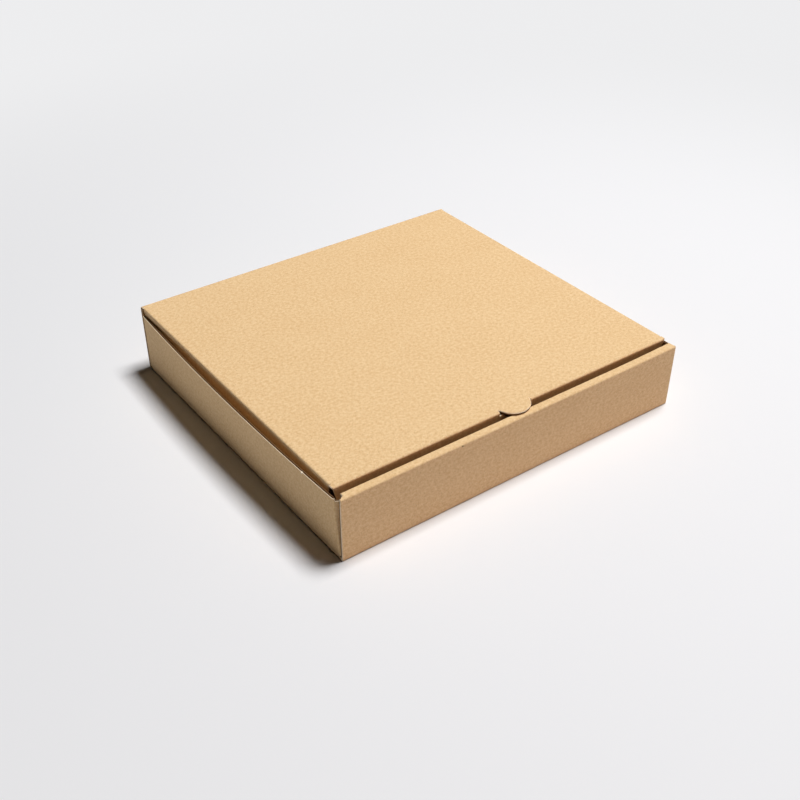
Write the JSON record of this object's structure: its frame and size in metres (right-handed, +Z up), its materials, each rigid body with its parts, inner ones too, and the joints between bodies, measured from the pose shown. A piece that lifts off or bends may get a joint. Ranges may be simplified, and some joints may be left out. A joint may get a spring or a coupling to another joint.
{
  "type": "pizza box",
  "caption": "Closed corrugated kraft pizza box folded from one sheet, with a rolled front wall, bowed side walls and a hinged lid with a thumb tab.",
  "frame": {"origin": "on the table, under the middle of the base panel, midway between its side creases and between its front and rear creases", "axes": "+X to the right across the front wall, +Y to the rear, towards the lid's crease, +Z up"},
  "size_m": [0.2602, 0.243, 0.0478],
  "materials": {
    "kraft_board": "matt unbleached kraft liner"
  },
  "bodies": {
    "tray": {"tray": "kraft_board"},
    "lid": {"lid": "kraft_board"}
  },
  "joints": [
    {"name": "lid_crease", "type": "hinge", "parent": "tray", "child": "lid", "pos_m": [0, 0.12068, 0.04748], "axis": [-1, 0, 0], "range_deg": [0, 180]}
  ]
}
